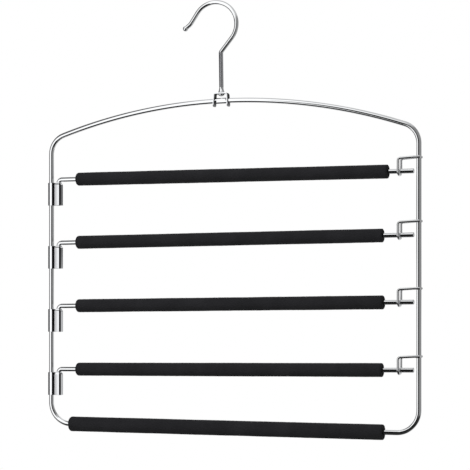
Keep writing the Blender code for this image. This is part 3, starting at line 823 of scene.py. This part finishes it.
# A sleeve turned about its wire, from the start to the end of its axis
def makeFoam(name, start, end, outer, wire, seed, body, replaced):
    bore = wire + foamShape["boreGap"]
    bm = bmesh.new()
    cut = bm.verts.layers.float.new("cutEnd")
    skin = bm.verts.layers.float.new("skin")
    verts = []
    for x, radius, ending in foamProfile((end - start).length, outer, bore):
        vert = bm.verts.new((x, 0, radius))
        vert[cut] = ending
        vert[skin] = 0.0 if radius <= bore * 1.01 else 1.0
        verts.append(vert)
    edges = [bm.edges.new(pair) for pair in zip(verts, verts[1:])]
    bmesh.ops.spin(bm, geom=verts + edges, cent=(0, 0, 0), axis=(1, 0, 0), angle=2 * pi,
                   steps=foamShape["around"], use_merge=True)
    bmesh.ops.holes_fill(bm, edges=[edge for edge in bm.edges if edge.is_boundary], sides=0)
    bmesh.ops.recalc_face_normals(bm, faces=bm.faces)
    turn = Vector((1, 0, 0)).rotation_difference(end - start).to_matrix().to_4x4()
    bmesh.ops.transform(bm, matrix=Matrix.Translation(start) @ turn, verts=bm.verts)
    piece = growMesh(name, meshFrom(bm, name), foamSkin, {
        **foamShape["skin"], "Seed": seed, "Material": finishes["foam"]})
    dress(piece, body, "black_foam", replaced)


def makeRod(number, pinX, foot, tip, slope):
    shape = armShape
    wire = shape["wireRadius"]
    runZ = foot + shape["pinDrop"]
    chamfer = shape["endChamfer"]
    groove = foot + shape["footHeight"]
    grooveTop = groove + shape["grooveHeight"]
    slim = shape["grooveRadius"] / wire
    elbow = Vector((pinX, 0, runZ - shape["elbowRadius"] * tan(slope)))
    bent = roundCorners([((pinX, 0, foot), 0), (elbow, shape["elbowRadius"]), (tip, 0)], 16)
    edge = shape["grooveEdge"]
    pin = [(foot, 1 - chamfer / wire), (foot + chamfer, 1.0), (groove, 1.0), (groove + edge, slim),
           (grooveTop - edge, slim), (grooveTop, 1.0)]
    stations = [(Vector((pinX, 0, height)), girth, 0.0) for height, girth in pin]
    full = shape["runGirth"]
    for step, spot in enumerate(bent[1:-1]):
        stations.append((spot, 1 + (full - 1) * min(step / shape["easeSteps"], 1), 0.0))
    along = (tip - bent[-2]).normalized()
    for step in range(7):
        angle = quarterTurn * step / 6
        girth = full - chamfer / wire * (1 - cos(angle))
        stations.append((tip - along * chamfer * (1 - sin(angle)), girth, 0.0))
    piece = sweepWire(f"armRod{number}", stations, wire, shape["sides"], finishes["arm"])
    dress(piece, f"arm_{number}", "arm_steel", f"arm_{number}_rod")


def makeArm(number):
    rodLow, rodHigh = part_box(f"arm_{number}_rod")
    foamLow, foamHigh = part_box(f"arm_{number}_foam_sleeve")
    pinX = rodLow.x + armShape["wireRadius"]
    foamRadius = foamHigh.y
    foamMid = (foamLow.z + foamHigh.z) / 2
    foamSpan = foamHigh.x - foamLow.x
    slope = asin((foamHigh.z - foamLow.z - 2 * foamRadius) / foamSpan) if number > 1 else 0.0
    rise = (rodHigh.x - pinX - armShape["elbowRadius"]) * tan(slope)
    makeRod(number, pinX, rodLow.z, Vector((rodHigh.x, 0, rodLow.z + armShape["pinDrop"] + rise)), slope)
    lean = foamRadius * sin(slope)
    start = Vector((foamLow.x + lean, 0, foamMid - foamSpan / 2 * tan(slope)))
    end = Vector((foamHigh.x - lean, 0, foamMid + foamSpan / 2 * tan(slope)))
    wire = armShape["wireRadius"] * armShape["runGirth"]
    makeFoam(f"armFoam{number}", start, end, foamRadius, wire, number * foamShape["armSeed"],
             f"arm_{number}", f"arm_{number}_foam_sleeve")


for number in tierNumbers:
    makeArm(number)
bottomLow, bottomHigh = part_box("bottom_foam_sleeve")
makeFoam("bottomFoam", Vector((bottomLow.x, 0, bottomZ)), Vector((bottomHigh.x, 0, bottomZ)),
         bottomHigh.y, frameWire, foamShape["bottomSeed"], "frame", "bottom_foam_sleeve")
print("arms and foam made")

bracketShape = {
    "frameHalf": 0.0035,  # the loop round the frame wire, square by the web and round at its outer side
    "pinHalf": 0.0037,  # the loop round the pin, a box with round corners
    "rimHalf": 0.00305,  # the pin's loop drawn in at its top
    "rimHeight": 0.0024,
    "corner": 0.0013,
    "web": 0.0007,
    "frameBore": 0.0028,
    "ringBore": 0.0030,
    "pinBore": 0.00235,
    "edge": 0.00013,
    "around": 48,
    "leads": (0.00012, 0.00042),  # points on the flats beside a bend
    "roundLead": 0.0002,  # the same before the round side
    "levelLead": 0.0005,  # and up and down the walls
    "crispFrom": 34,  # degrees
    "paintedReflectionBand": (-0.62, -0.08),  # painted reflection: a dark band round the front of the frame's loop, in shares of frameHalf
    "paintedFaceShade": 0.40,  # painted shade: how dark the pin's loop is where it leaves the web
}
keeperShape = {
    "wireRadius": 0.00125,
    "wireGap": 0.0003,  # to the frame wire, and under the arm
    "sidePlay": 0.0007,
    "reach": 0.0193,
    "skew": 0.0010,
    "cornerRadius": 0.0025,
    "runBend": 0.012,
    "footRound": 0.998,  # of the half width, which leaves a trace of flat under the arm
    "capLength": 0.5,  # rounding of the cut ends, in shares of the wire's radius
    "capEnd": 0.3,
    "runRise": 0.0133,
    "runSag": 0.0009,
    "overhang": 0.0026,
    "sides": 20,
}


# Puts a copy of a fitting on each point of a line of places
def tierRowTree():
    tree, given = startGeometryTree("tierRow", [("Fitting", "Object"), ("Material", "Material")])
    shape = given.add("GeometryNodeObjectInfo", {"transform_space": "RELATIVE"}, {
        0: given.out("Fitting")}, "Geometry")
    points = given.add("GeometryNodeMeshToPoints", None, {0: given.out("Geometry")})
    row = given.add("GeometryNodeInstanceOnPoints", None, {0: points, "Instance": shape})
    return endGeometryTree(tree, row, given.out("Material"))


tierRow = tierRowTree()


def repeatFitting(name, mesh, places, finish):
    fitting = placed(name + "Master", mesh)
    points = bpy.data.meshes.new(name)
    points.from_pydata(places, [], [])
    row = growMesh(name, points, tierRow, {"Fitting": fitting, "Material": finish})
    bpy.data.objects.remove(fitting, do_unlink=True)
    return row


# A bend in the strip, with points just outside each end of it so that the flats beside it shade flat
def stripBend(centreX, centreY, radius, start, end):
    line = arc(centreX, centreY, radius, start, end, 9)
    first, last = line[0], line[-1]
    for reach in bracketShape["leads"]:
        lead = copysign(reach, end - start)
        line.insert(0, (first[0] + sin(start) * lead, first[1] - cos(start) * lead))
        line.append((last[0] - sin(end) * lead, last[1] + cos(end) * lead))
    return line


# Outline seen from above, frame wire at x = 0, with every face drawn in by an inset
def bracketOutline(offset, pinHalf, inset):
    shape = bracketShape
    frameHalf, web, corner = (shape[key] - inset for key in ("frameHalf", "web", "corner"))
    pinHalf -= inset
    pin = [(offset - pinHalf, -web)]
    pin += stripBend(offset - pinHalf + corner, corner - pinHalf, corner, pi, 3 * quarterTurn)
    pin += stripBend(offset + pinHalf - corner, corner - pinHalf, corner, -quarterTurn, 0)
    loop = [(frameHalf, -web)] + stripBend(frameHalf - corner, corner - frameHalf, corner, 0, -quarterTurn)
    loop += [(shape["roundLead"], -frameHalf)] + arc(0, 0, frameHalf, -quarterTurn, -pi, 24)
    lower = pin[::-1] + loop
    return lower + [(x, -y) for x, y in reversed(lower[:-1])]


# Heights of the outline's levels: height, half width of the pin's loop, inset
def bracketLevels(height):
    shape = bracketShape
    edge = shape["edge"]
    rimFoot = height - shape["rimHeight"]
    turned = [(edge * (1 - cos(radians(angle))), edge * (1 - sin(radians(angle))))
              for angle in (0, 30, 60, 90)]
    levels = [(rise, shape["pinHalf"], inset) for rise, inset in turned]
    levels += [(rise, shape["pinHalf"], 0) for rise in (shape["levelLead"], rimFoot - shape["levelLead"])]
    for step in range(9):
        share = step / 8
        half = shape["pinHalf"] + (shape["rimHalf"] - shape["pinHalf"]) * eased(share)
        levels.append((rimFoot + (shape["rimHeight"] - 2 * edge) * share, half, 0))
    levels += [(height - rise, shape["rimHalf"], inset) for rise, inset in reversed(turned)]
    return levels


# How much painted shade: on the frame loop's flank by the web, as a painted dark reflection in its front
# band, on the pin loop's far corners and, less so, on its face by the web
def paintedShadeShare(x, y, offset):
    shape = bracketShape
    frameHalf, pinHalf, corner = (shape[key] for key in ("frameHalf", "pinHalf", "corner"))
    reach = sum(shape["leads"]) / 2
    if frameHalf - corner - reach < x < offset / 2:
        return 1.0
    if x > offset + pinHalf - corner - reach:
        return 1.0 if abs(y) > pinHalf - corner - reach else 0.0
    if offset / 2 < x < offset - pinHalf + corner + max(shape["leads"]) * 1.1:
        return shape["paintedFaceShade"]
    # painted reflection: a dark band across the front of the frame's loop
    low, high = shape["paintedReflectionBand"]
    return 1.0 if y < 0 and low * frameHalf < x < high * frameHalf else 0.0


# Bores of the bracket, edges broken: height and radius, from the foot up
def bracketBores(height):
    shape = bracketShape
    edge = shape["edge"]
    step = height - shape["rimHeight"]
    runs = [(0, height, shape["frameBore"], edge), (0, step, shape["ringBore"], -edge),
            (step, height, shape["pinBore"], edge)]
    frameBore, ringBore, pinBore = [
        [(low, radius + edge), (low + edge, radius), (high - edge, radius), (high, radius + top)]
        for low, high, radius, top in runs]
    return frameBore, ringBore + pinBore


def armNodes(label):
    return [f"arm_{number}_{label}" for number in tierNumbers]


def makeBrackets():
    boxes = [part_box(name) for name in armNodes("pivot_bracket")]
    height = boxes[0][1].z - boxes[0][0].z
    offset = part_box("arm_1_rod")[0].x + armShape["wireRadius"] - leftX
    bm = bmesh.new()
    # painted shade and painted dark reflection on the bracket's plating
    burnt = bm.verts.layers.float.new("burnt")
    walls = [[[bm.verts.new((x, y, z)) for x, y in bracketOutline(offset, half, inset)]
              for z, half, inset in bracketLevels(height)]]
    for vert in bm.verts:
        vert[burnt] = paintedShadeShare(vert.co.x, vert.co.y, offset)
    for centre, bore in zip((0, offset), bracketBores(height)):
        walls.append([])
        for z, radius in bore:
            ring = arc(centre, 0, radius, 0, 2 * pi, bracketShape["around"])[:-1]
            walls[-1].append([bm.verts.new((x, y, z)) for x, y in ring])
    for loops in walls:
        for lower, upper in zip(loops, loops[1:]):
            for i in range(len(lower)):
                bm.faces.new((lower[i - 1], lower[i], upper[i], upper[i - 1]))
    for end in (0, -1):
        edges = []
        for loops in walls:
            edges += [bm.edges.get((loops[end][i - 1], loops[end][i])) for i in range(len(loops[end]))]
        bmesh.ops.triangle_fill(bm, use_beauty=True, use_dissolve=False, edges=edges)
    bmesh.ops.recalc_face_normals(bm, faces=bm.faces)
    mesh = meshFrom(bm, "pivotBracket")
    mesh.shade_smooth()
    mesh.set_sharp_from_angle(angle=radians(bracketShape["crispFrom"]))
    row = repeatFitting("pivotBrackets", mesh, [(leftX, 0, low.z) for low, _ in boxes], finishes["bracket"])
    dress(row, "frame", "bracket_steel", *armNodes("pivot_bracket"))


# Hairpin, with the arm's centre line at z = 0: two runs past the frame wire, two legs and the U under the arm
def keeperPath():
    shape = keeperShape
    radius = shape["wireRadius"]
    frameSide = frameWire + radius + shape["wireGap"]
    legSide = armShape["wireRadius"] + shape["sidePlay"] + radius
    foot = -radius - armShape["wireRadius"] - shape["wireGap"]
    run = shape["runRise"]
    far = rightX + shape["overhang"]
    near = rightX - frameWire - radius
    halves = []
    for side in (-1, 1):
        leg = rightX - shape["reach"] + side * shape["skew"] / 2
        halves.append([
            ((far, side * frameSide, run), 0), ((near, side * frameSide, run), shape["runBend"]),
            ((leg, side * legSide, run - shape["runSag"]), shape["cornerRadius"]),
            ((leg, side * legSide, foot), legSide * shape["footRound"])])
    return roundCorners(halves[0] + halves[1][::-1], 12)


def makeKeepers():
    shape = keeperShape
    radius = shape["wireRadius"]
    path = keeperPath()
    stations = plainStations(path[1:-1])
    for end, before, place in ((path[0], path[1], 0), (path[-1], path[-2], len(stations))):
        outward = (end - before).normalized()
        cap = []
        for step in range(6):
            angle = quarterTurn * step / 5
            short = radius * shape["capLength"] * (1 - sin(angle))
            cap.append((end - outward * short, max(cos(angle), shape["capEnd"]), 0.0))
        stations[place:place] = cap[::-1] if place == 0 else cap
    wire = sweepWire("keeperMaster", stations, radius, shape["sides"], finishes["keeper"])
    mesh = wire.data
    bpy.data.objects.remove(wire, do_unlink=True)
    armHeights = [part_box(name)[1].z - radius - shape["runRise"] for name in armNodes("keeper")]
    row = repeatFitting("keeperHairpins", mesh, [(0, 0, height) for height in armHeights], finishes["keeper"])
    dress(row, "frame", "keeper_steel", *armNodes("keeper"))
    return [height + shape["runRise"] for height in armHeights]


weldShape = {
    "swell": (0.0019, 0.0008, 0.0015),
    "standOff": 0.00015,
    "around": 24,
    "rings": 14,
}


# Spot welds that hold the keepers on the frame loop, swollen a little over the wires
def makeWelds(heights):
    bm = bmesh.new()
    bmesh.ops.create_uvsphere(bm, u_segments=weldShape["around"], v_segments=weldShape["rings"], radius=1.0)
    bmesh.ops.scale(bm, vec=weldShape["swell"], verts=bm.verts)
    mesh = meshFrom(bm, "spotWeld")
    mesh.shade_smooth()
    side = frameWire + weldShape["standOff"]
    places = [(rightX, front * side, height) for height in heights for front in (-1, 1)]
    row = repeatFitting("keeperWelds", mesh, places, finishes["weld"])
    dress(row, "frame", "keeper_steel")


# The retaining rings stay as they are in the frame, in spring steel
def dressRings():
    for name in armNodes("retaining_ring"):
        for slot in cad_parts[name].material_slots:
            slot.material = finishes["ring"]


makeBrackets()
makeWelds(makeKeepers())
dressRings()
print("fittings made")

# What the metal mirrors: a tent of panels close round the hanger.
# Degrees run to the right of the camera, and up.
mirrorTent = {
    "centre": (0.0132, 0.0, -0.25),
    "radius": 0.62,
    "segments": (64, 32),
    "heights": [  # degrees up and brightness, where there is no panel
        (-90, 0.04), (-45, 0.02), (-20, 0.04), (0, 0.14), (30, 0.18), (50, 0.60), (70, 0.62), (90, 0.52)],
    "panels": [  # from, to, lowest, highest, brightness, softness of its edges
        (-130, -82, -45, 22, 0.16, 8),
        (-140, -76, 22, 66, 0.10, 12),
        (-84, -35, -28, 24, 1.25, 5),  # main softbox
        (-66, -27, 18, 68, 1.20, 6),  # its top, wider towards the camera
        (-32, 4, 38, 72, 1.20, 8),
        (-34, 14, -28, 20, 0.0, 4),  # dark gap round the camera
        (16, 104, -26, 50, 0.27, 8),
        (96, 150, -55, -3, 0.75, 10),
        (96, 146, -3, 33, 0.52, 10),
        (157, 182, 12, 60, 0.90, 6),
        (-182, -157, 12, 60, 0.90, 6),
        (150, 182, -50, 0, 0.70, 6),
        (-182, -150, -50, 0, 0.70, 6),
    ],
}
studio = {
    "ambient": 0.55,  # plain light on the foam and the floor
    "floorZ": -0.80,
    "floorSize": 12.0,
    "floorShade": (0.86, 0.86, 0.86),
    "floorRoughness": 0.9,
    "whiteFrom": 0.7,
    "whiteTo": 1.5,
    "keyPower": 26.0,
    "keySize": 1.6,
    "keyPlace": (-0.7, -1.5, 1.5),
}


# The camera sees plain white, and everything else a plain level
def makeWorld():
    world = bpy.data.worlds.new("studio")
    bpy.context.scene.world = world
    world.use_nodes = True
    world.node_tree.nodes.clear()
    nodes = Wire(world.node_tree)
    seen = nodes.add("ShaderNodeLightPath", None, None, "Is Camera Ray")
    background = nodes.add("ShaderNodeBackground", None, {
        "Color": (1, 1, 1, 1), "Strength": studio["ambient"] + seen * (1 - studio["ambient"])})
    nodes.add("ShaderNodeOutputWorld", None, {0: background})


# 1 inside a range of degrees and 0 outside it, with soft edges
def between(angle, low, high, soft):
    above = angle.ramped(low - soft / 2, low + soft / 2, "SMOOTHSTEP")
    past = angle.ramped(high - soft / 2, high + soft / 2, "SMOOTHSTEP")
    return above * (1 - past)


# Only reflections see the tent: it lights nothing and casts no shadow
def makeTent():
    tent = mirrorTent
    bm = bmesh.new()
    across, up = tent["segments"]
    bmesh.ops.create_uvsphere(bm, u_segments=across, v_segments=up, radius=tent["radius"])
    bmesh.ops.translate(bm, vec=tent["centre"], verts=bm.verts)
    dome = placed("mirrorTent", meshFrom(bm, "mirrorTent"))
    for part in ("camera", "diffuse", "transmission", "volume_scatter", "shadow"):
        setattr(dome, "visible_" + part, False)
    material, nodes, _, place = startMaterial("tentPanels")
    turned = nodes.add("ShaderNodeMapping", {"vector_type": "TEXTURE"}, {
        0: place, "Location": tent["centre"], "Rotation": (0, 0, radians(cameraView["azimuth"]))})
    ways = nodes.add("ShaderNodeSeparateXYZ", None, {
        0: nodes.add("ShaderNodeVectorMath", {"operation": "NORMALIZE"}, {0: turned})})
    aside = ways.maths("ARCTAN2", ways.out("X"), 0 - ways.out("Y")) * (180 / pi)
    height = ways.maths("ARCSINE", ways.out("Z")) * (180 / pi)
    stops = [((degrees + 90) / 180, brightness) for degrees, brightness in tent["heights"]]
    level = nodes.add("ShaderNodeValToRGB", {"stops": stops}, {0: height / 180 + 0.5})
    for start, end, low, high, brightness, soft in tent["panels"]:
        panel = between(aside, start, end, soft) * between(height, low, high, soft)
        level = level + (brightness - level) * panel
    glow = nodes.add("ShaderNodeEmission", None, {"Color": level, "Strength": 1.0})
    glow.into(material.node_tree.nodes["Material Output"], "Surface")
    material.cycles.emission_sampling = "NONE"
    dome.data.materials.append(material)


# Pale floor, fading to plain white away from the hanger
def makeFloor():
    bm = bmesh.new()
    bmesh.ops.create_grid(bm, x_segments=1, y_segments=1, size=studio["floorSize"])
    bmesh.ops.translate(bm, vec=(0, 0, studio["floorZ"]), verts=bm.verts)
    floor = placed("floor", meshFrom(bm, "floor"))
    floor.visible_glossy = False
    material, nodes, shader, place = startMaterial("paleFloor")
    shader.inputs["Base Color"].default_value = (*studio["floorShade"], 1)
    shader.inputs["Roughness"].default_value = studio["floorRoughness"]
    flat = nodes.add("ShaderNodeVectorMath", {"operation": "MULTIPLY"}, {0: place, 1: (1, 1, 0)})
    distance = nodes.add("ShaderNodeVectorMath", {"operation": "LENGTH"}, {0: flat}, "Value")
    away = distance.ramped(studio["whiteFrom"], studio["whiteTo"], "SMOOTHSTEP")
    seen = nodes.add("ShaderNodeLightPath", None, None, "Is Camera Ray")
    white = nodes.add("ShaderNodeEmission", None, {"Color": (1, 1, 1, 1), "Strength": 1.0})
    lit = Wire(material.node_tree, shader.outputs[0])
    mixed = nodes.add("ShaderNodeMixShader", None, {0: away * seen, 1: lit, 2: white})
    mixed.into(material.node_tree.nodes["Material Output"], "Surface")
    floor.data.materials.append(material)


def makeKeyLight():
    data = bpy.data.lights.new("keySoftbox", "AREA")
    data.shape = "SQUARE"
    data.size = studio["keySize"]
    data.energy = studio["keyPower"]
    lamp = placed("keySoftbox", data)
    lamp.location = studio["keyPlace"]
    aim = Vector(cameraView["aim"]) - lamp.location
    lamp.rotation_euler = aim.to_track_quat("-Z", "Y").to_euler()
    lamp.visible_glossy = False


makeWorld()
makeTent()
makeFloor()
makeKeyLight()
bpy.context.scene.view_settings.view_transform = "Standard"
print("studio set")
